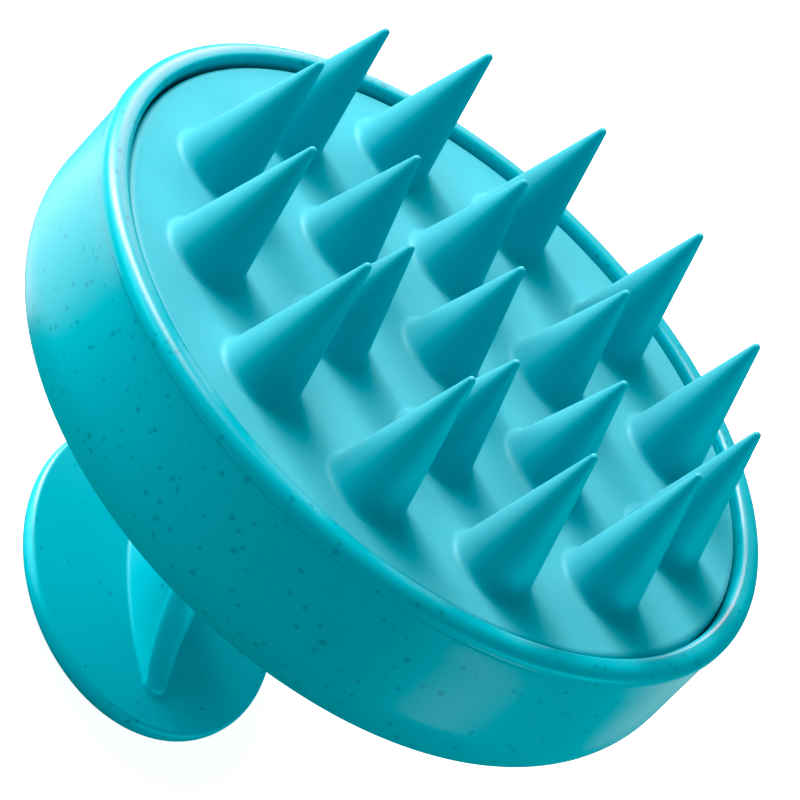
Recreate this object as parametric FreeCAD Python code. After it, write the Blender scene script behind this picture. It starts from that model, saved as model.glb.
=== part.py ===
import FreeCAD, Part
import math
import os

# Scalp massager brush: a round silicone bristle pad in a moulded cup, on a stem with a palm disc.
# Millimetres. The brush stands on its palm disc: z = 0 is the flat palm face, +Z is up.
# The stem's blade and the head's lean both lie in the XZ plane, and the head leans towards -X.
# The head's parts are drawn in the head's own frame, with z = 0 on the cup's back and z up to the
# bristles, and head_place then sets them on the stem.

V = FreeCAD.Vector

# Palm disc, oval with its long axis along the blade, and its cap
palm_a, palm_b = 18.9, 16.5
palm_t = 3.2
palm_round = 2.3         # round on the palm side of the edge
palm_brow = 0.6          # round on the stem side of the edge
cap_inset = 4.2          # from the disc's edge to the cap's edge
cap_t = 1.5
cap_gap = 0.12
cap_chamfer = 0.35

# Stem: an almond section that flares at both ends
finger_gap = 29.2        # palm disc to the cup's back, up the middle
head_tilt = 15.0
head_shift = 1.3
waist_a, waist_b = 4.6, 3.3
foot_a, foot_b = 14.2, 3.6
root_a, root_b = 12.5, 5.0
foot_flare = 9.0
root_flare = 9.0
nose_w = 0.8             # half-width of the blade's nose at the foot
waist_nose_w = 1.7
stem_sections = 11
core_a, core_b = 5.4, 1.5
core_rise = 3.0          # how far the core runs up the stem from the disc

# Joint between the stem and the cup
spigot_a, spigot_b = 6.0, 3.1
spigot_h = 2.8
spigot_gap = 0.1
seat_t = 2.4             # plastic between the spigot pocket and the screw's head
seat_r = 10.0

# Cup
shell_r = 42.5
shell_h = 21.5
rim_w = 2.75             # rim's width, from the bore to the outside
wall_step = 0.3          # the wall stands this far inside the lip
back_t = 2.4
back_corner = 8.8
lip_round = 1.2
lip_inner_round = 0.6
lip_h = 2.2              # lip's foot below its top
lip_blend = 1.2          # soft step from the wall to the lip's foot
boss_r = 3.2
boss_inset = 15.5        # screw's middle to the pad's edge
boss_count = 4

# Bristle pad
pad_gap = 0.25
pad_recess = 0.8
pad_turn = 15.0          # how far the pad's pattern is turned from the handle's plane, in degrees
pad_t = 2.6
pad_round = 0.8
skirt_t = 1.9
hook_t = 1.4
hook_reach = 1.3
fit_gap = 0.1            # pad and carrier, skirt and hook

# Bristles
bristle_base_r = 4.6
bristle_fillet = 0.9
bristle_tip_r = 0.45
bristle_root = 0.8       # how far a bristle runs down into the pad
outer_inset = 9.1        # outer bristle's middle to the pad's edge
outer_lean = 0.9         # how far an outer bristle's tip leans in
outer_count, outer_rise = 12, 17.3
inner_count, inner_ring, inner_rise = 6, 15.8, 14.0
centre_rise = 14.2

# Carrier and screws
carrier_t = 2.4
rib_inset = 8.5          # ring's middle to the pad's edge
rib_w = 1.6
rib_h = 3.0
stem_screw_r, stem_screw_length = 1.8, 14.0
stem_screw_head_r, stem_screw_head_h = 3.7, 2.6
small_screw_r, small_screw_length = 1.4, 10.0
small_screw_head_r, small_screw_head_h = 2.8, 1.5
thread_gap = 0.05
clearance_gap = 0.3
pilot_spare = 0.6        # pilot hole beyond the screw's tip
slot_w, slot_depth = 0.8, 1.1

# Worked out from the sizes above
head_place = FreeCAD.Placement(
    V(head_shift, 0, palm_t + finger_gap),
    FreeCAD.Rotation(V(0, 1, 0), -head_tilt))
cap_a, cap_b = palm_a - cap_inset, palm_b - cap_inset
bore_r = shell_r - rim_w
pad_r = bore_r - pad_gap
boss_ring_r = pad_r - boss_inset
rib_ring_r = pad_r - rib_inset
outer_ring = pad_r - outer_inset
wall_r = shell_r - wall_step
pad_top = shell_h - pad_recess
carrier_top = pad_top - pad_t
carrier_bottom = carrier_top - carrier_t
carrier_r = pad_r - skirt_t - fit_gap
seat_z = spigot_h + spigot_gap + seat_t
pilot_r = stem_screw_r + thread_gap
pilot_depth = stem_screw_length - seat_t - spigot_gap + pilot_spare
small_pilot_r = small_screw_r + thread_gap


def line(a, b):
    return Part.LineSegment(V(a[0], 0, a[1]), V(b[0], 0, b[1])).toShape()


def arc(a, middle, b):
    return Part.Arc(V(a[0], 0, a[1]), V(middle[0], 0, middle[1]), V(b[0], 0, b[1])).toShape()


def corner(centre, radius, start, end):
    """Arc about a centre in (r, z), from one angle to another in degrees."""
    points = []
    for angle in (start, (start + end) / 2, end):
        turn = math.radians(angle)
        points.append((centre[0] + radius * math.cos(turn), centre[1] + radius * math.sin(turn)))
    return points


def turned(items):
    """Solid of revolution about Z. Each item is a point, or three points of an arc."""
    edges = []
    last = None
    first = None
    for item in items:
        start = item[0] if isinstance(item, list) else item
        if last is None:
            first = start
        elif math.dist(last, start) > 1e-6:
            edges.append(line(last, start))
        if isinstance(item, list):
            edges.append(arc(*item))
            last = item[2]
        else:
            last = item
    if math.dist(last, first) > 1e-6:
        edges.append(line(last, first))
    face = Part.Face(Part.Wire(edges))
    return face.revolve(V(0, 0, 0), V(0, 0, 1), 360)


def around(shape, count, ring_r, phase):
    """Copies of a shape, evenly spaced on a ring in the head's frame."""
    copies = []
    for index in range(count):
        angle = math.radians(phase + index * 360 / count)
        copy = shape.copy()
        copy.translate(V(ring_r * math.cos(angle), ring_r * math.sin(angle), 0))
        copies.append(copy)
    return copies


def almond(half_length, half_width, nose):
    """Closed almond outline in the XY plane, with blunt noses on the X axis."""
    shoulder = half_length - 0.75 * nose
    side = V(0, half_width, 0)
    right, left = V(shoulder, nose, 0), V(-shoulder, nose, 0)
    right_low, left_low = V(shoulder, -nose, 0), V(-shoulder, -nose, 0)
    return Part.Wire([
        Part.Arc(right, side, left).toShape(),
        Part.Arc(left, V(-half_length, 0, 0), left_low).toShape(),
        Part.Arc(left_low, V(0, -half_width, 0), right_low).toShape(),
        Part.Arc(right_low, V(half_length, 0, 0), right).toShape()])


def oval_block(half_length, half_width, height):
    """Upright oval disc, long in X, standing on z = 0."""
    outline = Part.Wire(Part.Ellipse(V(0, 0, 0), half_length, half_width).toShape())
    return Part.Face(outline).extrude(V(0, 0, height))


def rim_edges(block, z):
    """The oval's edges that lie flat at the given height."""
    edges = []
    for edge in block.Edges:
        box = edge.BoundBox
        if abs(box.ZMin - z) < 1e-4 and abs(box.ZMax - z) < 1e-4:
            edges.append(edge)
    return edges


def slot_block(half_length, half_width, height):
    """Upright block with round ends, long in X, standing on z = 0."""
    straight = half_length - half_width
    box = Part.makeBox(2 * straight, 2 * half_width, height, V(-straight, -half_width, 0))
    for side in (-1, 1):
        box = box.fuse(Part.makeCylinder(half_width, height, V(side * straight, 0, 0)))
    return box.removeSplitter()


def cross_recess(reach, depth, top):
    """Cross-shaped cutter for a screw head whose top is at the given height."""
    bars = []
    for length, width in ((2 * reach, slot_w), (slot_w, 2 * reach)):
        bars.append(Part.makeBox(length, width, depth, V(-length / 2, -width / 2, top - depth)))
    return bars[0].fuse(bars[1])


def stem():
    """Lofted stem from inside the palm disc to the cup's back."""
    start = V(0, 0, palm_t)
    end = head_place.Base
    lean = head_place.Rotation.multVec(V(0, 0, 1))
    reach = finger_gap / 3
    handles = (start, start + V(0, 0, reach), end - lean * reach, end)
    sections = []
    for index in range(stem_sections):
        t = index / (stem_sections - 1)
        weights = ((1 - t) ** 3, 3 * t * (1 - t) ** 2, 3 * t * t * (1 - t), t ** 3)
        centre = V(0, 0, 0)
        for weight, point in zip(weights, handles):
            centre = centre + point * weight
        foot = max(0, 1 - t * finger_gap / foot_flare) ** 2
        root = max(0, 1 - (1 - t) * finger_gap / root_flare) ** 2
        outline = almond(
            waist_a + (foot_a - waist_a) * foot + (root_a - waist_a) * root,
            waist_b + (foot_b - waist_b) * foot + (root_b - waist_b) * root,
            waist_nose_w + (nose_w - waist_nose_w) * foot)
        turn = FreeCAD.Rotation(V(0, 1, 0), -head_tilt * t)
        outline.Placement = FreeCAD.Placement(centre, turn)
        sections.append(outline)
    return Part.makeLoft(sections, True, False)


def handle():
    """Stem, palm disc and spigot in one moulding, cored from the palm side."""
    disc = oval_block(palm_a, palm_b, palm_t)
    disc = disc.makeFillet(palm_round, rim_edges(disc, 0))
    disc = disc.makeFillet(palm_brow, rim_edges(disc, palm_t))
    root_pad = Part.Face(almond(foot_a, foot_b, nose_w)).extrude(V(0, 0, -palm_t / 4))
    root_pad.translate(V(0, 0, palm_t))
    body = disc.fuse([root_pad, stem()])
    spigot = slot_block(spigot_a, spigot_b, spigot_h)
    spigot.Placement = head_place
    body = body.fuse(spigot)
    recess = oval_block(cap_a + cap_gap, cap_b + cap_gap, cap_t)
    core = slot_block(core_a, core_b, palm_t + core_rise)
    pilot = Part.makeCylinder(pilot_r, pilot_depth, V(0, 0, spigot_h), V(0, 0, -1))
    pilot.Placement = head_place.multiply(pilot.Placement)
    return body.cut([recess, core, pilot]).removeSplitter()


def palm_cap():
    """Flush disc that closes the palm side, with a peg up into the stem's core."""
    disc = oval_block(cap_a, cap_b, cap_t)
    disc = disc.makeChamfer(cap_chamfer, rim_edges(disc, 0))
    peg = slot_block(core_a - cap_gap, core_b - cap_gap, palm_t + core_rise / 2 - cap_t)
    peg.translate(V(0, 0, cap_t))
    return disc.fuse(peg).removeSplitter()


def shell():
    """Cup with a rounded lip, a socket for the stem's spigot and bosses for the carrier."""
    corner_centre = (wall_r - back_corner, back_corner)
    inner_corner = back_corner - back_t
    lip_foot = shell_h - lip_h
    cup = turned([
        (0, 0),
        corner(corner_centre, back_corner, -90, 0),
        [(wall_r, lip_foot - lip_blend), (wall_r + 0.25 * wall_step, lip_foot - 0.45 * lip_blend),
         (shell_r, lip_foot)],
        corner((shell_r - lip_round, shell_h - lip_round), lip_round, 0, 90),
        corner((bore_r + lip_inner_round, shell_h - lip_inner_round), lip_inner_round, 90, 180),
        corner((bore_r - inner_corner, back_t + inner_corner), inner_corner, 0, -90),
        (0, back_t)])
    overlap = back_t / 2
    seat = Part.makeCylinder(seat_r, seat_z - overlap, V(0, 0, overlap))
    boss = Part.makeCylinder(boss_r, carrier_bottom - overlap, V(0, 0, overlap))
    cup = cup.fuse([seat] + around(boss, boss_count, boss_ring_r, 45))
    socket = slot_block(spigot_a + spigot_gap, spigot_b + spigot_gap, spigot_h + spigot_gap)
    screw_hole = Part.makeCylinder(stem_screw_r + clearance_gap, seat_z)
    pilot = Part.makeCylinder(small_pilot_r, small_screw_length, V(0, 0, carrier_bottom), V(0, 0, -1))
    cup = cup.cut([socket, screw_hole] + around(pilot, boss_count, boss_ring_r, 45))
    return cup.removeSplitter()


def pad_carrier():
    """Stiff plate behind the pad, with a stiffening ring and countersunk screw holes."""
    plate = Part.makeCylinder(carrier_r, carrier_t, V(0, 0, carrier_bottom))
    ring = Part.makeCylinder(rib_ring_r + rib_w / 2, rib_h, V(0, 0, carrier_bottom - rib_h))
    ring = ring.cut(Part.makeCylinder(rib_ring_r - rib_w / 2, rib_h, V(0, 0, carrier_bottom - rib_h)))
    plate = plate.fuse(ring)
    hole = turned([
        (0, carrier_bottom),
        (small_screw_r + clearance_gap, carrier_bottom),
        (small_screw_r + clearance_gap, carrier_top - small_screw_head_h),
        (small_screw_head_r + fit_gap, carrier_top),
        (0, carrier_top)])
    return plate.cut(around(hole, boss_count, boss_ring_r, 45)).removeSplitter()


def bristle(rise):
    """Cone with a filleted root and a round tip, standing on z = 0."""
    slope = math.atan2(bristle_base_r - bristle_tip_r, rise - bristle_tip_r)
    tip_z = rise - bristle_tip_r
    shoulder = (bristle_tip_r * math.cos(slope), tip_z + bristle_tip_r * math.sin(slope))
    middle = math.pi / 4 + slope / 2
    crown = (bristle_tip_r * math.cos(middle), tip_z + bristle_tip_r * math.sin(middle))
    flank_r = bristle_base_r - bristle_fillet * math.tan(slope)
    skirt_r = bristle_base_r + 0.75 * bristle_fillet
    bend = (bristle_base_r + 0.12 * bristle_fillet, 0.3 * bristle_fillet)
    return turned([
        (0, -bristle_root),
        (skirt_r, -bristle_root),
        [(skirt_r, 0), bend, (flank_r, bristle_fillet)],
        [shoulder, crown, (0, rise)]])


def bristle_pad():
    """One silicone moulding: the plate, its skirt and hook round the carrier, and every bristle."""
    skirt_inner = pad_r - skirt_t
    hook_top = carrier_bottom - fit_gap
    hook_low = hook_top - hook_t
    pad = turned([
        (0, carrier_top),
        (skirt_inner, carrier_top),
        (skirt_inner, hook_top),
        (skirt_inner - hook_reach, hook_top),
        (skirt_inner - hook_reach, hook_low),
        (pad_r, hook_low),
        corner((pad_r - pad_round, pad_top - pad_round), pad_round, 0, 90),
        (0, pad_top)])
    lean = math.degrees(math.asin(outer_lean / outer_rise))
    outer = bristle(outer_rise)
    outer.Placement = FreeCAD.Placement(
        V(outer_ring, 0, pad_top), FreeCAD.Rotation(V(0, 1, 0), -lean))
    rings = []
    for index in range(outer_count):
        copy = outer.copy()
        copy.rotate(V(0, 0, 0), V(0, 0, 1), (index + 0.5) * 360 / outer_count)
        rings.append(copy)
    inner = bristle(inner_rise)
    inner.translate(V(0, 0, pad_top))
    rings += around(inner, inner_count, inner_ring, 180 / inner_count)
    centre = bristle(centre_rise)
    centre.translate(V(0, 0, pad_top))
    pad = pad.fuse(rings + [centre]).removeSplitter()
    pad.rotate(V(0, 0, 0), V(0, 0, 1), pad_turn)
    return pad


def stem_screw():
    """Pan-head screw down the middle of the stem, its head on the cup's seat."""
    point = stem_screw_r
    low = seat_z - stem_screw_length
    screw = turned([
        (0, low),
        (stem_screw_r * 0.3, low),
        (stem_screw_r, low + point),
        (stem_screw_r, seat_z),
        (stem_screw_head_r, seat_z),
        [(stem_screw_head_r, seat_z + stem_screw_head_h / 2),
         (stem_screw_head_r * 0.8, seat_z + stem_screw_head_h * 0.86),
         (0, seat_z + stem_screw_head_h)]])
    return screw.cut(cross_recess(stem_screw_r, slot_depth, seat_z + stem_screw_head_h))


def carrier_screws():
    """Countersunk screws that hold the carrier on the cup's bosses."""
    low = carrier_top - small_screw_length
    screw = turned([
        (0, low),
        (small_screw_r * 0.3, low),
        (small_screw_r, low + small_screw_r),
        (small_screw_r, carrier_top - small_screw_head_h),
        (small_screw_head_r, carrier_top),
        (0, carrier_top)])
    screw = screw.cut(cross_recess(small_screw_r, slot_depth, carrier_top))
    return Part.makeCompound(around(screw, boss_count, boss_ring_r, 45))


def main():
    os.makedirs("parts", exist_ok=True)
    nodes = {"handle": handle(), "palm_cap": palm_cap()}
    for build in (shell, pad_carrier, bristle_pad, stem_screw, carrier_screws):
        shape = build()
        shape.Placement = head_place.multiply(shape.Placement)
        nodes[build.__name__] = shape
    for name, shape in nodes.items():
        shape.exportStep("parts/" + name + ".step")
        box = shape.BoundBox
        print(f"{name}: {len(shape.Solids)} solid(s), {shape.Volume / 1000:.2f} cm3, valid {shape.isValid()},",
              f"z {box.ZMin:.1f} to {box.ZMax:.1f}")


main()
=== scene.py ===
import math

import bmesh
import bpy
from mathutils import Matrix, Vector
from mathutils.geometry import delaunay_2d_cdt


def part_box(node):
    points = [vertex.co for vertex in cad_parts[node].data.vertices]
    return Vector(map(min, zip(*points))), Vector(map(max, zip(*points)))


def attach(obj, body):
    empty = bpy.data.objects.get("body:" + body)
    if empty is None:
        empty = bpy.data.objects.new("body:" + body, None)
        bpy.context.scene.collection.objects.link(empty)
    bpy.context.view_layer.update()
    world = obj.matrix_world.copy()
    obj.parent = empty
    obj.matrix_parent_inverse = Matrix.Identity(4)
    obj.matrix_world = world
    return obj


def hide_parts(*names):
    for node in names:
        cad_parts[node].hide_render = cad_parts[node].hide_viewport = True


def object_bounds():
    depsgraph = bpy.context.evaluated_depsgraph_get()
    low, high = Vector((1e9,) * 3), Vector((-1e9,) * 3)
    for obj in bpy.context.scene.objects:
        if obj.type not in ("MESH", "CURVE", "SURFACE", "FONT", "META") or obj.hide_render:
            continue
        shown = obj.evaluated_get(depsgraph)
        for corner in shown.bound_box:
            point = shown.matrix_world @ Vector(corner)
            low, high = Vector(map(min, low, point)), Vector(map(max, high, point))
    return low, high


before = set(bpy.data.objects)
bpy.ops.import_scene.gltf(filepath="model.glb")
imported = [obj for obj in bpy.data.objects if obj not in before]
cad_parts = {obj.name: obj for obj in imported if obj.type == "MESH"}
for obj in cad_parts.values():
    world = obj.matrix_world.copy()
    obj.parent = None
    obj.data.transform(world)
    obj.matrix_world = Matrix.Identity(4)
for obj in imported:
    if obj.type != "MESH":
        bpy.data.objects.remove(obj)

# Scalp massager brush. Metres in the row frame, millimetres inside the piece builders.
cad_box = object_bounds()
middle = (Vector(cad_box[0]) + Vector(cad_box[1])) / 2
MM = 0.001

# Head: the cup and the silicone pad, drawn with z = 0 on the cup's back and z up to the bristles
HEAD_TILT = 15.0
SHELL_R, SHELL_H = 42.5, 21.5
WALL_R = 42.2
BACK_T, BACK_CORNER = 2.4, 8.8
LIP_ROUND, LIP_INNER_ROUND, LIP_H, LIP_BLEND = 1.4, 0.7, 1.75, 0.45
BORE_R = 39.75
WALL_RINGS, BORE_RINGS = (11.0, 14.0, 16.5), (17.0, 12.0)     # heights of extra rings
BOSS_R, BOSS_RING, BOSS_COUNT = 3.2, 24.0, 4
BOSS_HOLE_R, BOSS_HOLE_DEPTH = 1.45, 10.0
SEAT_R, SEAT_Z, SEAT_HOLE_R = 10.0, 5.3, 2.1
SOCKET_A, SOCKET_B, SOCKET_H = 6.1, 3.2, 2.9

PAD_R, PAD_TOP, PAD_ROUND = 39.5, 20.7, 1.0
BEAD_OUT, BEAD_TOP, BEAD_LOW = 0.2, 19.1, 17.6     # sealing bead round the pad's edge
PAD_TURN = 15.0
SKIRT_R = 37.6
HOOK_R, HOOK_TOP, HOOK_LOW = 36.3, 15.6, 14.2
CARRIER_TOP, CARRIER_BOTTOM = 18.1, 15.7
BASE_R, FOOT_FILLET, TIP_R = 4.6, 0.9, 0.45
OUTER_COUNT, OUTER_BASE, OUTER_TIP, OUTER_RISE = 12, 30.4, 29.5, 17.3
INNER_COUNT, INNER_RING, INNER_RISE = 6, 15.8, 14.0
CENTRE_RISE = 14.2

# Handle: palm disc and bladed stem, standing on z = 0
PALM_T, PALM_ROUND, PALM_BROW = 3.2, 2.3, 0.6
RECESS_INSET, RECESS_T = 4.08, 1.5
FINGER_GAP, HEAD_SHIFT = 29.2, 1.3
WAIST_A, WAIST_B, WAIST_NOSE = 4.6, 3.3, 2.3
FOOT_A, FOOT_B, FOOT_NOSE, FOOT_FLARE = 14.2, 3.6, 1.3, 9.0
ROOT_A, ROOT_B, ROOT_FLARE = 12.5, 5.0, 9.0
FOOT_ROUND = 0.5
STEM_START = 0.012       # share of the stem's height that its foot round takes up
CORE_A, CORE_B, CORE_RISE = 5.4, 1.5, 3.0
SPIGOT_A, SPIGOT_B, SPIGOT_H = 6.0, 3.1, 2.8
PILOT_R, PILOT_DEPTH = 1.85, 12.1

CUP_TEAL = (0.012, 0.355, 0.425)
# The handle is the cup's plastic made lighter: painted light for the brighter light on its disc and stem
HANDLE_TEAL_PAINTED_LIGHT = (0.025, 0.450, 0.53)
TEAL_FLECK = (0.0, 0.20, 0.25)
SILICONE_TEAL = (0.050, 0.400, 0.482)


class Solid:
    """A closed mesh, built from rings of points joined by walls, plates and caps."""

    def __init__(self, name):
        self.name = name
        self.bm = bmesh.new()

    def ring(self, points):
        return [self.bm.verts.new(Vector(p) * MM) for p in points]

    def wall(self, low, high):
        count = len(low)
        for i in range(count):
            k = (i + 1) % count
            self.bm.faces.new((low[i], low[k], high[k], high[i]))

    def stack(self, rings):
        for low, high in zip(rings, rings[1:]):
            self.wall(low, high)

    def tip(self, ring, point):
        top = self.bm.verts.new(Vector(point) * MM)
        for i in range(len(ring)):
            self.bm.faces.new((ring[i], ring[(i + 1) % len(ring)], top))

    def plate(self, outline, holes=(), plane=None):
        """Flat sheet inside one ring and outside the others. plane maps points to the drawing plane."""
        flatten = plane or Matrix.Identity(4)
        loops = [outline] + list(holes)
        verts = [v for loop in loops for v in loop]
        flat = [(flatten @ (v.co / MM)).to_2d() for v in verts]
        edges = []
        start = 0
        for loop in loops:
            edges += [(start + i, start + (i + 1) % len(loop)) for i in range(len(loop))]
            start += len(loop)
        _, _, faces, kept, _, _ = delaunay_2d_cdt(flat, edges, [], 1, 1e-5)
        outlines = [[(flatten @ (v.co / MM)).to_2d() for v in loop] for loop in loops]
        for face in faces:
            corners = [verts[kept[i][0]] for i in face]
            middle = sum((flat[kept[i][0]] for i in face), Vector((0, 0))) / len(face)
            if inside(middle, outlines[0]) and not any(inside(middle, o) for o in outlines[1:]):
                self.bm.faces.new(corners)

    def finish(self, place, crease=34.0):
        """Turn the solid into an object in the row frame, smooth except across real edges."""
        bmesh.ops.recalc_face_normals(self.bm, faces=self.bm.faces)
        for edge in self.bm.edges:
            edge.smooth = edge.calc_face_angle(0) < math.radians(crease)
        for face in self.bm.faces:
            face.smooth = True
        mesh = bpy.data.meshes.new(self.name)
        self.bm.transform(place)
        self.bm.to_mesh(mesh)
        self.bm.free()
        piece = bpy.data.objects.new(self.name, mesh)
        bpy.context.scene.collection.objects.link(piece)
        return piece


def inside(point, outline):
    odd = False
    for a, b in zip(outline, outline[1:] + outline[:1]):
        if (a.y > point.y) != (b.y > point.y):
            if point.x < (b.x - a.x) * (point.y - a.y) / (b.y - a.y) + a.x:
                odd = not odd
    return odd


def turns(count):
    return [2 * math.pi * i / count for i in range(count)]


def circle(radius, z, count, cx=0.0, cy=0.0):
    return [(cx + radius * math.cos(u), cy + radius * math.sin(u), z) for u in turns(count)]


def oval(a, b, z, count):
    return [(a * math.cos(u), b * math.sin(u), z) for u in turns(count)]


def slot_outline(a, b, z, count):
    """Round-ended slot, long in X."""
    points = []
    for u in turns(count):
        side = (a - b) if math.cos(u) >= 0 else -(a - b)
        points.append((side + b * math.cos(u), b * math.sin(u), z))
    return points


def round_off(cr, cz, radius, start, end, steps):
    """Arc of (r, z) points about a centre, between two angles in degrees."""
    points = []
    for i in range(steps + 1):
        angle = math.radians(start + (end - start) * i / steps)
        points.append((cr + radius * math.cos(angle), cz + radius * math.sin(angle)))
    return points


def moved(place, points):
    return [place @ Vector(p) for p in points]


def ease(t):
    return t * t * (3 - 2 * t)


# The cup
def build_shell(place):
    solid = Solid("cup_shell")
    count = 256
    inner_corner = BACK_CORNER - BACK_T
    lip_foot = SHELL_H - LIP_H
    outer = round_off(WALL_R - BACK_CORNER, BACK_CORNER, BACK_CORNER, -90, 0, 22)
    outer += [(WALL_R, z) for z in WALL_RINGS]
    for i in range(9):
        t = i / 8
        outer.append((WALL_R + (SHELL_R - WALL_R) * ease(t), lip_foot - LIP_BLEND * (1 - t)))
    outer += round_off(SHELL_R - LIP_ROUND, SHELL_H - LIP_ROUND, LIP_ROUND, 0, 90, 10)
    outer += round_off(BORE_R + LIP_INNER_ROUND, SHELL_H - LIP_INNER_ROUND, LIP_INNER_ROUND, 90, 180, 6)
    outer += [(BORE_R, z) for z in BORE_RINGS]
    outer += round_off(BORE_R - inner_corner, BACK_T + inner_corner, inner_corner, 0, -90, 12)
    rings = [solid.ring(circle(r, z, count)) for r, z in outer]
    solid.stack(rings)

    socket_low = solid.ring(slot_outline(SOCKET_A, SOCKET_B, 0, 64))
    socket_top = solid.ring(slot_outline(SOCKET_A, SOCKET_B, SOCKET_H, 64))
    solid.plate(rings[0], [socket_low])
    solid.wall(socket_low, socket_top)
    hole_low = solid.ring(circle(SEAT_HOLE_R, SOCKET_H, 48))
    hole_top = solid.ring(circle(SEAT_HOLE_R, SEAT_Z, 48))
    solid.plate(socket_top, [hole_low])
    solid.wall(hole_low, hole_top)
    seat_low = solid.ring(circle(SEAT_R, BACK_T, 96))
    seat_top = solid.ring(circle(SEAT_R, SEAT_Z, 96))
    solid.plate(seat_top, [hole_top])
    solid.wall(seat_low, seat_top)

    feet = [seat_low]
    for i in range(BOSS_COUNT):
        angle = math.radians(45 + i * 360 / BOSS_COUNT)
        cx, cy = BOSS_RING * math.cos(angle), BOSS_RING * math.sin(angle)
        foot = solid.ring(circle(BOSS_R, BACK_T, 48, cx, cy))
        top = solid.ring(circle(BOSS_R, CARRIER_BOTTOM, 48, cx, cy))
        mouth = solid.ring(circle(BOSS_HOLE_R, CARRIER_BOTTOM, 48, cx, cy))
        floor = solid.ring(circle(BOSS_HOLE_R, CARRIER_BOTTOM - BOSS_HOLE_DEPTH, 48, cx, cy))
        solid.stack([foot, top, mouth, floor])
        solid.plate(floor)
        feet.append(foot)
    solid.plate(rings[-1], feet)
    return solid.finish(place)


# The silicone pad
def bristle_profile(rise):
    """(r, height) from the foot of the root's fillet to just under the tip."""
    slope = math.atan2(BASE_R - TIP_R, rise - TIP_R)
    flank_r = BASE_R - FOOT_FILLET * math.tan(slope)
    foot_r = BASE_R + 0.75 * FOOT_FILLET
    profile = []
    for i in range(7):
        t = i / 6
        reach = (1 - t) ** 2 * foot_r + 2 * t * (1 - t) * (BASE_R + 0.02) + t * t * flank_r
        height = 2 * t * (1 - t) * 0.05 + t * t * FOOT_FILLET
        profile.append((reach, height))
    shoulder = (TIP_R * math.cos(slope), rise - TIP_R + TIP_R * math.sin(slope))
    for i in range(1, 11):
        t = i / 11
        height = FOOT_FILLET + (shoulder[1] - FOOT_FILLET) * t
        profile.append((flank_r + (shoulder[0] - flank_r) * t, height))
    for i in range(5):
        angle = slope + (math.pi / 2 - slope) * i / 5
        profile.append((TIP_R * math.cos(angle), rise - TIP_R + TIP_R * math.sin(angle)))
    return profile


def add_bristle(solid, ring_r, angle, lean_in, rise):
    """One bristle on the pad's top. Returns the ring where it meets the pad."""
    toward = Vector((math.cos(angle), math.sin(angle), 0))
    rings = []
    for r, height in bristle_profile(rise):
        centre = toward * (ring_r - lean_in * height / rise)
        rings.append(solid.ring(circle(r, PAD_TOP + height, 56, centre.x, centre.y)))
    solid.stack(rings)
    centre = toward * (ring_r - lean_in)
    solid.tip(rings[-1], (centre.x, centre.y, PAD_TOP + rise))
    return rings[0]


def build_pad(place):
    solid = Solid("silicone_bristle_pad")
    count = 224
    edge = round_off(PAD_R - PAD_ROUND, PAD_TOP - PAD_ROUND, PAD_ROUND, 90, 0, 9)
    edge += [(PAD_R + BEAD_OUT, BEAD_TOP), (PAD_R + BEAD_OUT, BEAD_LOW), (PAD_R, BEAD_LOW - BEAD_OUT)]
    edge += [(PAD_R, HOOK_LOW), (HOOK_R, HOOK_LOW), (HOOK_R, HOOK_TOP)]
    edge += [(SKIRT_R, HOOK_TOP), (SKIRT_R, CARRIER_TOP)]
    rings = [solid.ring(circle(r, z, count)) for r, z in edge]
    solid.stack(rings)
    solid.plate(rings[-1])
    turn = math.radians(PAD_TURN)
    feet = [add_bristle(solid, 0.0, 0.0, 0.0, CENTRE_RISE)]
    for i in range(OUTER_COUNT):
        angle = turn + (i + 0.5) * 2 * math.pi / OUTER_COUNT
        feet.append(add_bristle(solid, OUTER_BASE, angle, OUTER_BASE - OUTER_TIP, OUTER_RISE))
    for i in range(INNER_COUNT):
        angle = turn + (i + 0.5) * 2 * math.pi / INNER_COUNT
        feet.append(add_bristle(solid, INNER_RING, angle, 0.0, INNER_RISE))
    solid.plate(rings[0], feet)
    return solid.finish(place)


# The handle
def almond(a, b, nose, count):
    """Almond outline with blunt noses on the X axis."""
    shoulder = a - 0.75 * nose
    points = []
    for u in turns(count):
        x = a * math.cos(u)
        if abs(x) <= shoulder:
            half = nose + (b - nose) * (1 - (x / shoulder) ** 2)
        else:
            half = nose * math.sqrt(max(0.0, 1 - ((abs(x) - shoulder) / (a - shoulder)) ** 2))
        points.append(Vector((x, math.copysign(half, math.sin(u)), 0)))
    points[0].y = points[count // 2].y = 0.0
    return points


def stem_section(t, count, grow=0.0):
    """Outline of the stem at a share t of the way up, in the row frame in millimetres."""
    start = Vector((0, 0, PALM_T))
    end = Vector((HEAD_SHIFT, 0, PALM_T + FINGER_GAP))
    lean = Matrix.Rotation(math.radians(-HEAD_TILT), 4, "Y") @ Vector((0, 0, 1))
    reach = FINGER_GAP / 3
    points = (start, start + Vector((0, 0, reach)), end - lean * reach, end)
    weights = ((1 - t) ** 3, 3 * t * (1 - t) ** 2, 3 * t * t * (1 - t), t ** 3)
    centre = sum((p * w for p, w in zip(points, weights)), Vector((0, 0, 0)))
    foot = max(0.0, 1 - t * FINGER_GAP / FOOT_FLARE) ** 2
    root = max(0.0, 1 - (1 - t) * FINGER_GAP / ROOT_FLARE) ** 2
    outline = almond(
        WAIST_A + (FOOT_A - WAIST_A) * foot + (ROOT_A - WAIST_A) * root + grow,
        WAIST_B + (FOOT_B - WAIST_B) * foot + (ROOT_B - WAIST_B) * root + grow,
        WAIST_NOSE + (FOOT_NOSE - WAIST_NOSE) * foot + 0.6 * grow,
        count)
    turn = Matrix.Rotation(math.radians(-HEAD_TILT) * t, 4, "Y")
    return [turn @ p + centre for p in outline]


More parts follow.
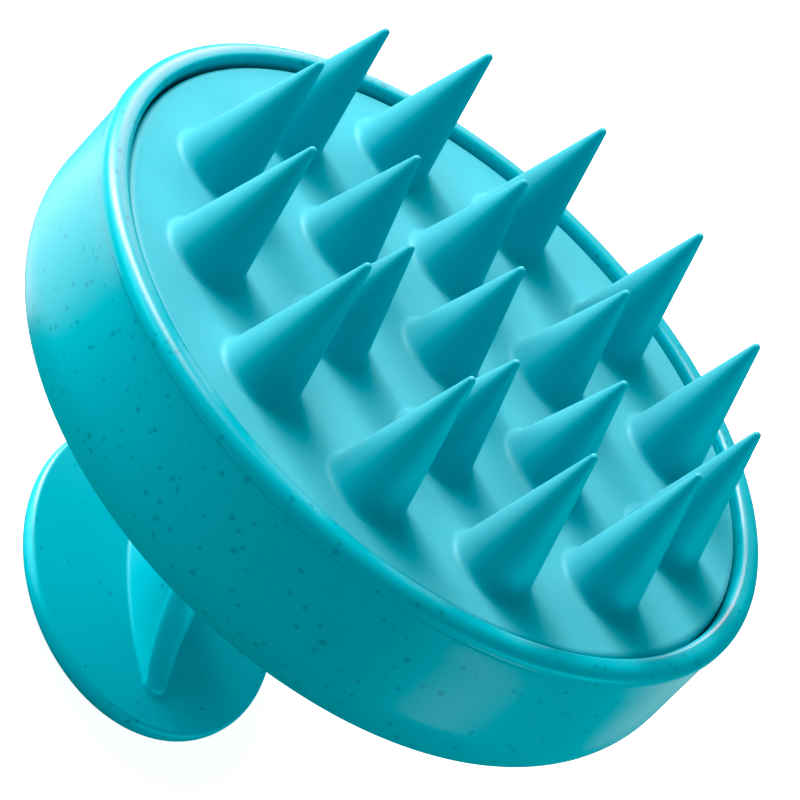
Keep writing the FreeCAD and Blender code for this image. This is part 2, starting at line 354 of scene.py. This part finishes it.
def build_handle(palm_a, palm_b, head):
    solid = Solid("handle_moulding")
    count = 192
    recess_a, recess_b = palm_a - RECESS_INSET, palm_b - RECESS_INSET
    edge = round_off(-PALM_ROUND, PALM_ROUND, PALM_ROUND, -90, 0, 12)
    edge += round_off(-PALM_BROW, PALM_T - PALM_BROW, PALM_BROW, 0, 90, 7)
    disc = [solid.ring(oval(recess_a, recess_b, z, count)) for z in (RECESS_T, 0)]
    disc += [solid.ring(oval(palm_a + r, palm_b + r, z, count)) for r, z in edge]
    solid.stack(disc)
    core_low = solid.ring(slot_outline(CORE_A, CORE_B, RECESS_T, 64))
    core_top = solid.ring(slot_outline(CORE_A, CORE_B, PALM_T + CORE_RISE, 64))
    solid.plate(disc[0], [core_low])
    solid.wall(core_low, core_top)
    solid.plate(core_top)

    stem = []
    for i in range(4):
        angle = math.radians(90 * i / 3)
        grow = FOOT_ROUND * (1 - math.sin(angle))
        points = stem_section(0.0, count, grow)
        rise = FOOT_ROUND * (1 - math.cos(angle))
        stem.append(solid.ring([p + Vector((0, 0, rise)) for p in points]))
    steps = 54
    for i in range(1, steps + 1):
        t = STEM_START + (1 - STEM_START) * i / steps
        stem.append(solid.ring(stem_section(t, count)))
    solid.plate(disc[-1], [stem[0]])
    solid.stack(stem)
    to_head = head.inverted()
    spigot_low = solid.ring(moved(head, slot_outline(SPIGOT_A, SPIGOT_B, 0, 64)))
    spigot_top = solid.ring(moved(head, slot_outline(SPIGOT_A, SPIGOT_B, SPIGOT_H, 64)))
    solid.plate(stem[-1], [spigot_low], to_head)
    solid.wall(spigot_low, spigot_top)
    pilot_mouth = solid.ring(moved(head, circle(PILOT_R, SPIGOT_H, 48)))
    pilot_end = solid.ring(moved(head, circle(PILOT_R, SPIGOT_H - PILOT_DEPTH, 48)))
    solid.plate(spigot_top, [pilot_mouth], to_head)
    solid.wall(pilot_mouth, pilot_end)
    solid.plate(pilot_end, [], to_head)
    return solid.finish(Matrix.Identity(4), 40.0)


# Finishes
def group(name, inputs, outputs):
    tree = bpy.data.node_groups.new(name, "ShaderNodeTree")
    for label, kind, value in inputs:
        socket = tree.interface.new_socket(label, in_out="INPUT", socket_type=kind)
        socket.default_value = value
    for label, kind in outputs:
        tree.interface.new_socket(label, in_out="OUTPUT", socket_type=kind)
    return tree, tree.nodes.new("NodeGroupInput"), tree.nodes.new("NodeGroupOutput")


def node(tree, kind, links=(), **values):
    """Add a node, set its properties and sockets, and link what feeds it."""
    made = tree.nodes.new(kind)
    for key, value in values.items():
        if hasattr(made, key):
            setattr(made, key, value)
        else:
            made.inputs[key.replace("_", " ")].default_value = value
    for source, target in links:
        tree.links.new(source, made.inputs[target])
    return made


def fleck_group():
    """Scattered moulding flecks: a soft mask of small uneven specks, and a slow noise cloud for uneven
    tone.
    """
    tree, given, out = group(
        "Moulding Flecks",
        [("Spacing", "NodeSocketFloat", 900.0), ("Share", "NodeSocketFloat", 0.3)],
        [("Flecks", "NodeSocketFloat"), ("Cloud", "NodeSocketFloat")])
    where = node(tree, "ShaderNodeTexCoord").outputs["Object"]
    wander = node(tree, "ShaderNodeTexNoise", [(where, "Vector")], Scale=1500.0, Detail=2.0)
    bend = node(tree, "ShaderNodeVectorMath", [(wander.outputs["Color"], 0)], operation="MULTIPLY_ADD")
    bend.inputs[1].default_value = (0.0007, 0.0007, 0.0007)
    tree.links.new(where, bend.inputs[2])
    cell_links = [(bend.outputs[0], "Vector"), (given.outputs["Spacing"], "Scale")]
    cells = node(tree, "ShaderNodeTexVoronoi", cell_links)
    pick = node(tree, "ShaderNodeSeparateColor", [(cells.outputs["Color"], 0)])
    gate_links = [(given.outputs["Share"], 0), (pick.outputs[0], 1)]
    gate = node(tree, "ShaderNodeMath", gate_links, operation="SUBTRACT")
    size = node(tree, "ShaderNodeMath", [(gate.outputs[0], 0)], operation="MULTIPLY", use_clamp=True)
    size.inputs[1].default_value = 0.6
    depth_links = [(size.outputs[0], 0), (cells.outputs["Distance"], 1)]
    depth = node(tree, "ShaderNodeMath", depth_links, operation="SUBTRACT")
    mask = node(tree, "ShaderNodeMath", [(depth.outputs[0], 0)], operation="MULTIPLY", use_clamp=True)
    mask.inputs[1].default_value = 6.0
    cloud = node(tree, "ShaderNodeTexNoise", [(where, "Vector")], Scale=55.0, Detail=3.0)
    tree.links.new(mask.outputs[0], out.inputs["Flecks"])
    tree.links.new(cloud.outputs["Fac"], out.inputs["Cloud"])
    return tree


def grain_group():
    """Fine moulded surface: a height for a bump, and a slow unevenness for the gloss."""
    tree, given, out = group(
        "Moulded Grain",
        [("Fineness", "NodeSocketFloat", 1600.0)],
        [("Height", "NodeSocketFloat"), ("Gloss", "NodeSocketFloat")])
    where = node(tree, "ShaderNodeTexCoord").outputs["Object"]
    fine_links = [(where, "Vector"), (given.outputs["Fineness"], "Scale")]
    fine = node(tree, "ShaderNodeTexNoise", fine_links, Detail=3.0)
    slow = node(tree, "ShaderNodeTexNoise", [(where, "Vector")], Scale=90.0, Detail=4.0)
    tree.links.new(fine.outputs["Fac"], out.inputs["Height"])
    tree.links.new(slow.outputs["Fac"], out.inputs["Gloss"])
    return tree


FLECKS = fleck_group()
GRAIN = grain_group()


def use_group(tree, made, **values):
    placed = tree.nodes.new("ShaderNodeGroup")
    placed.node_tree = made
    for key, value in values.items():
        placed.inputs[key].default_value = value
    return placed


def spread(tree, value, low, high):
    """Map a value that runs about 0.3 to 0.7 onto the range low to high."""
    made = node(tree, "ShaderNodeMapRange", [(value, "Value")])
    made.inputs["From Min"].default_value = 0.3
    made.inputs["From Max"].default_value = 0.7
    made.inputs["To Min"].default_value = low
    made.inputs["To Max"].default_value = high
    return made.outputs["Result"]


def blend(tree, share, first, second):
    """Mix two colours, each a tuple or an output."""
    made = tree.nodes.new("ShaderNodeMix")
    made.data_type = "RGBA"
    tree.links.new(share, made.inputs["Factor"])
    for socket, value in ((made.inputs[6], first), (made.inputs[7], second)):
        if isinstance(value, tuple):
            socket.default_value = (*value, 1.0)
        else:
            tree.links.new(value, socket)
    return made.outputs[2]


def new_finish(name):
    material = bpy.data.materials.new(name)
    material.use_nodes = True
    tree = material.node_tree
    return material, tree, tree.nodes["Principled BSDF"]


def bump(tree, shader, height, strength, distance):
    made = node(tree, "ShaderNodeBump", [(height, "Height")], Strength=strength, Distance=distance)
    tree.links.new(made.outputs["Normal"], shader.inputs["Normal"])


def flecked_plastic(name, base, fleck, share, rough):
    """Satin moulded plastic with fine darker flecks in it."""
    material, tree, shader = new_finish(name)
    flecks = use_group(tree, FLECKS, Spacing=900.0, Share=share)
    grain = use_group(tree, GRAIN, Fineness=1300.0)
    cloud = spread(tree, flecks.outputs["Cloud"], 0.0, 1.0)
    deep = tuple(c * 0.93 for c in base)
    body = blend(tree, cloud, deep, base)
    faint = node(tree, "ShaderNodeMath", [(flecks.outputs["Flecks"], 0)], operation="MULTIPLY")
    faint.inputs[1].default_value = 0.7
    colour = blend(tree, faint.outputs[0], body, fleck)
    tree.links.new(colour, shader.inputs["Base Color"])
    gloss = spread(tree, grain.outputs["Gloss"], rough - 0.03, rough + 0.03)
    tree.links.new(gloss, shader.inputs["Roughness"])
    bump(tree, shader, grain.outputs["Height"], 0.12, 0.00005)
    shader.inputs["Specular IOR Level"].default_value = 0.42
    shader.inputs["Specular Tint"].default_value = (0.80, 0.95, 1.0, 1.0)
    shader.inputs["Coat Weight"].default_value = 0.12
    shader.inputs["Coat Roughness"].default_value = 0.28
    shader.inputs["Subsurface Weight"].default_value = 0.05
    shader.inputs["Subsurface Radius"].default_value = (0.2, 0.8, 1.0)
    shader.inputs["Subsurface Scale"].default_value = 0.0008
    return material


def soft_silicone():
    """Moulded silicone: slightly milky, satin, with a faint powdery unevenness."""
    material, tree, shader = new_finish("Bristle Silicone")
    grain = use_group(tree, GRAIN, Fineness=2200.0)
    milky = tuple(0.94 * c + 0.012 for c in SILICONE_TEAL)
    colour = blend(tree, spread(tree, grain.outputs["Gloss"], 0.0, 1.0), SILICONE_TEAL, milky)
    tree.links.new(colour, shader.inputs["Base Color"])
    tree.links.new(spread(tree, grain.outputs["Gloss"], 0.42, 0.5), shader.inputs["Roughness"])
    bump(tree, shader, grain.outputs["Height"], 0.08, 0.00004)
    shader.inputs["Subsurface Weight"].default_value = 0.18
    shader.inputs["Subsurface Radius"].default_value = (0.15, 0.8, 1.0)
    shader.inputs["Subsurface Scale"].default_value = 0.0016
    shader.inputs["Specular IOR Level"].default_value = 0.30
    shader.inputs["Specular Tint"].default_value = (0.3, 0.90, 1.0, 1.0)
    shader.inputs["Sheen Weight"].default_value = 0.20
    shader.inputs["Sheen Tint"].default_value = (0.6, 1.0, 1.0, 1.0)
    shader.inputs["Sheen Roughness"].default_value = 0.45
    return material


def carrier_plastic():
    material, tree, shader = new_finish("Carrier Plastic")
    grain = use_group(tree, GRAIN, Fineness=900.0)
    colour = blend(tree, grain.outputs["Gloss"], (0.62, 0.66, 0.66), (0.72, 0.75, 0.75))
    tree.links.new(colour, shader.inputs["Base Color"])
    tree.links.new(spread(tree, grain.outputs["Gloss"], 0.5, 0.62), shader.inputs["Roughness"])
    bump(tree, shader, grain.outputs["Height"], 0.2, 0.00008)
    return material


def screw_steel():
    material, tree, shader = new_finish("Screw Steel")
    grain = use_group(tree, GRAIN, Fineness=2600.0)
    colour = blend(tree, grain.outputs["Gloss"], (0.50, 0.50, 0.51), (0.62, 0.62, 0.63))
    tree.links.new(colour, shader.inputs["Base Color"])
    tree.links.new(spread(tree, grain.outputs["Height"], 0.25, 0.42), shader.inputs["Roughness"])
    bump(tree, shader, grain.outputs["Height"], 0.15, 0.00003)
    shader.inputs["Metallic"].default_value = 1.0
    return material


def dress(piece, material):
    piece.data.materials.clear()
    piece.data.materials.append(material)


# Placing the pieces on the frame
handle_low, handle_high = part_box("handle")
palm_a = (handle_high.x - handle_low.x) / 2 / MM
palm_b = (handle_high.y - handle_low.y) / 2 / MM
head_lean = Matrix.Rotation(math.radians(-HEAD_TILT), 4, "Y")
head = Matrix.Translation((HEAD_SHIFT, 0, PALM_T + FINGER_GAP)) @ head_lean
head_place = Matrix.Translation(head.translation * MM) @ head.to_3x3().to_4x4()

shell_plastic = flecked_plastic("Cup Plastic", CUP_TEAL, TEAL_FLECK, 0.70, 0.34)
# The handle and its cap take the lightened teal, which is painted light on the same plastic as the cup
handle_plastic = flecked_plastic("Handle Plastic", HANDLE_TEAL_PAINTED_LIGHT, TEAL_FLECK, 0.52, 0.38)
cap_plastic = flecked_plastic("Cap Plastic", tuple(c * 0.95 for c in HANDLE_TEAL_PAINTED_LIGHT), TEAL_FLECK, 0.52, 0.4)

cup_shell = build_shell(head_place)
dress(cup_shell, shell_plastic)
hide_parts("shell")
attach(cup_shell, "root")

bristle_pad = build_pad(head_place)
dress(bristle_pad, soft_silicone())
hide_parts("bristle_pad")
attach(bristle_pad, "root")

handle = build_handle(palm_a, palm_b, head)
dress(handle, handle_plastic)
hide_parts("handle")
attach(handle, "root")

dress(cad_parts["palm_cap"], cap_plastic)
dress(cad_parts["pad_carrier"], carrier_plastic())
steel = screw_steel()
dress(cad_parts["stem_screw"], steel)
dress(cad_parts["carrier_screws"], steel)


# Floor, light and camera
def build_floor():
    mesh = bpy.data.meshes.new("studio_floor")
    bm = bmesh.new()
    bmesh.ops.create_grid(bm, x_segments=8, y_segments=8, size=3.0)
    bm.to_mesh(mesh)
    bm.free()
    floor = bpy.data.objects.new("studio_floor", mesh)
    bpy.context.scene.collection.objects.link(floor)
    floor.location.z = cad_box[0][2] - 0.00005
    material, tree, shader = new_finish("Floor Paper")
    seen = node(tree, "ShaderNodeLightPath").outputs["Is Camera Ray"]
    tree.links.new(blend(tree, seen, (0.08, 0.42, 0.42), (0.98, 0.85, 0.85)), shader.inputs["Base Color"])
    glow = blend(tree, seen, (0.0, 0.0, 0.0), (0.90, 0.80, 0.80))
    tree.links.new(glow, shader.inputs["Emission Color"])
    shader.inputs["Emission Strength"].default_value = 1.0
    shader.inputs["Roughness"].default_value = 0.9
    shader.inputs["Specular IOR Level"].default_value = 0.1
    dress(floor, material)


def aim(obj, spot, target, roll=0.0):
    look = (Vector(target) - Vector(spot)).to_track_quat("-Z", "Y").to_matrix().to_4x4()
    obj.matrix_world = Matrix.Translation(spot) @ look @ Matrix.Rotation(roll, 4, "Z")


def softbox(name, spot, target, width, height, radiance, tint=(1.0, 1.0, 1.0), only=()):
    """A rectangular area light that faces the target, set by how bright its face is.

    only names the pieces it lights, where it doesn't light them all.
    """
    light = bpy.data.lights.new(name, "AREA")
    light.shape = "RECTANGLE"
    light.size, light.size_y = width, height
    light.energy = radiance * math.pi * width * height
    light.color = tint
    lamp = bpy.data.objects.new(name, light)
    bpy.context.scene.collection.objects.link(lamp)
    lamp.visible_camera = False
    if only:
        lamp.light_linking.receiver_collection = bpy.data.collections.new(name + "_subjects")
        for piece in only:
            lamp.light_linking.receiver_collection.objects.link(piece)
    aim(lamp, Vector(spot), Vector(target))


def away(direction, distance):
    """A place at a distance from the brush's middle."""
    return middle + Vector(direction).normalized() * distance


build_floor()
CYAN = (0.15, 0.96, 1.0)
WARM = (1.0, 0.56, 0.54)
softbox("key_box", away((-0.78, -0.32, 0.56), 1.10), middle, 0.44, 0.66, 27.0, WARM)
low_front = away((-0.45, -0.86, 0.22), 0.95)
softbox("low_box", low_front, middle, 0.75, 0.34, 3.6, CYAN)
softbox("cup_box", low_front, middle, 0.75, 0.34, 6.4, CYAN, [cup_shell, handle])
softbox("rim_strip", away((-0.90, -0.42, 0.18), 0.85), middle, 0.18, 0.30, 27.0)
softbox("back_box", away((-0.93, 0.28, 0.17), 0.85), middle, 0.45, 0.30, 3.2, (0.35, 0.96, 1.0))
softbox("lip_strip", away((-0.93, 0.28, 0.20), 0.85), middle, 0.34, 0.24, 11.0,
        (1.0, 0.10, 0.10), [cup_shell])
softbox("disc_strip", away((-0.81, -0.58, 0.13), 0.85), middle, 0.20, 0.30, 22.0,
        (1.0, 0.15, 0.15), [handle])
softbox("side_box", away((0.75, 0.65, 0.08), 0.80), middle, 0.80, 0.16, 7.0, CYAN)
# Cards at floor level stand in for light thrown back by the paper
softbox("left_card", (-0.055, -0.062, 0.002), (-0.055, -0.062, 1.0), 0.07, 0.06, 1.6)
softbox("right_card", (0.165, 0.085, 0.002), (0.165, 0.085, 1.0), 0.06, 0.09, 3.0)
softbox("far_card", (0.010, 0.104, 0.002), (0.010, 0.104, 1.0), 0.05, 0.025, 0.7)
softbox("disc_card", (-0.006, -0.0225, 0.0006), (-0.006, -0.0225, 1.0), 0.030, 0.009, 1.5, only=[handle])

world = bpy.data.worlds.new("studio")
bpy.context.scene.world = world
world.use_nodes = True
background = world.node_tree.nodes["Background"]
sky_tree = world.node_tree
seen = node(sky_tree, "ShaderNodeLightPath").outputs["Is Camera Ray"]
sky = blend(sky_tree, seen, (0.132, 0.405, 0.44), (1.0, 1.0, 1.0))
sky_tree.links.new(sky, background.inputs["Color"])
background.inputs["Strength"].default_value = 1.0

lens = bpy.data.cameras.new("camera")
lens.sensor_width = 36.0
lens.lens = 285.38
lens.clip_start, lens.clip_end = 0.01, 20.0
camera = bpy.data.objects.new("camera", lens)
bpy.context.scene.collection.objects.link(camera)
azimuth, elevation, distance, roll = math.radians(45.01), math.radians(41.29), 0.66625, math.radians(56.21)
target = Vector((-0.00469, 0.00292, 0.04211))
level = math.cos(elevation)
outward = Vector((math.sin(azimuth) * level, -math.cos(azimuth) * level, math.sin(elevation)))
aim(camera, target + outward * distance, target, roll)
bpy.context.scene.camera = camera
view = bpy.context.scene.view_settings
view.view_transform = "Standard"
view.use_curve_mapping = True
view.curve_mapping.black_level = (0.032, 0.010, 0.010)
view.curve_mapping.update()
